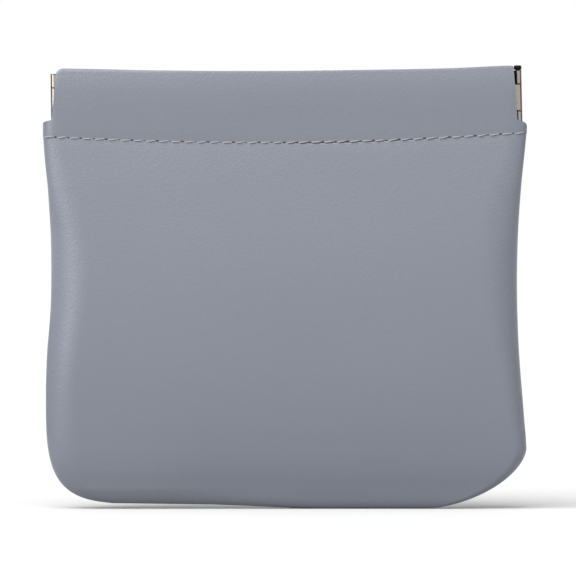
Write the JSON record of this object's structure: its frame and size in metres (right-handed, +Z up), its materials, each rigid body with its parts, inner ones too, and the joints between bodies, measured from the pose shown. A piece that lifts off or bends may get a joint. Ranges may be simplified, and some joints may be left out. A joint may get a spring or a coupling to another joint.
{
  "type": "cosmetic pouch",
  "caption": "Small leather cosmetic pouch with a hinged spring frame sewn into its top; squeezing the two ends opens the mouth and it snaps shut by itself.",
  "frame": {"origin": "middle of the box on the floor under the standing pouch", "axes": "+Z up to the mouth, +X to the right as seen from the front, the front faces -Y"},
  "size_m": [0.0988, 0.015, 0.0904],
  "materials": {
    "leather": "smooth blue-grey coated leather, soft sheen",
    "spring_steel": "nickel-plated spring steel",
    "black_pin": "blackened steel, half gloss"
  },
  "bodies": {
    "seams": {"bottom_seam": "leather", "left_side_seam": "leather", "right_side_seam": "leather"},
    "front_wall": {"front_panel": "leather"},
    "rear_wall": {"rear_panel": "leather"},
    "left_end": {"left_hinge_pin": "spring_steel"},
    "front_left": {"front_strip_left": "spring_steel", "front_casing_left": "leather"},
    "front_right": {"front_strip_right": "spring_steel", "front_casing_right": "leather", "right_hinge_pin": "black_pin"},
    "rear_left": {"rear_strip_left": "spring_steel", "rear_casing_left": "leather"},
    "rear_right": {"rear_strip_right": "spring_steel", "rear_casing_right": "leather"}
  },
  "joints": [
    {"name": "mouth_open", "type": "hinge", "parent": "left_end", "child": "front_left", "pos_m": [-0.04735, 0, 0.0843], "axis": [0, 0, -1], "range_deg": [0, 25], "stiffness_Nm_per_rad": 0.15, "springref_deg": -11.46},
    {"name": "rear_left_hinge", "type": "hinge", "parent": "left_end", "child": "rear_left", "pos_m": [-0.04735, 0, 0.0843], "axis": [0, 0, 1], "range_deg": [0, 25]},
    {"name": "front_bow", "type": "hinge", "parent": "front_left", "child": "front_right", "pos_m": [0.00025, 0, 0.0843], "axis": [0, 0, 1], "range_deg": [0, 50]},
    {"name": "rear_bow", "type": "hinge", "parent": "rear_left", "child": "rear_right", "pos_m": [0.00025, 0, 0.0843], "axis": [0, 0, -1], "range_deg": [0, 50]},
    {"name": "left_end_squeeze", "type": "slide", "parent": "seams", "child": "left_end", "axis": [1, 0, 0], "range_m": [0, 0.00446]},
    {"name": "front_wall_lean", "type": "hinge", "parent": "seams", "child": "front_wall", "pos_m": [0, -0.0032, 0.0003], "axis": [1, 0, 0], "range_deg": [0, 15.5]},
    {"name": "rear_wall_lean", "type": "hinge", "parent": "seams", "child": "rear_wall", "pos_m": [0, 0.0032, 0.0003], "axis": [-1, 0, 0], "range_deg": [0, 15.5]}
  ],
  "couplings": [
    {"joint": "rear_left_hinge", "follows": "mouth_open", "ratio": 1},
    {"joint": "front_bow", "follows": "mouth_open", "ratio": 2},
    {"joint": "rear_bow", "follows": "mouth_open", "ratio": 2},
    {"joint": "left_end_squeeze", "follows": "mouth_open", "m_per_rad": 0.010221},
    {"joint": "front_wall_lean", "follows": "mouth_open", "ratio": 0.62},
    {"joint": "rear_wall_lean", "follows": "mouth_open", "ratio": 0.62}
  ]
}
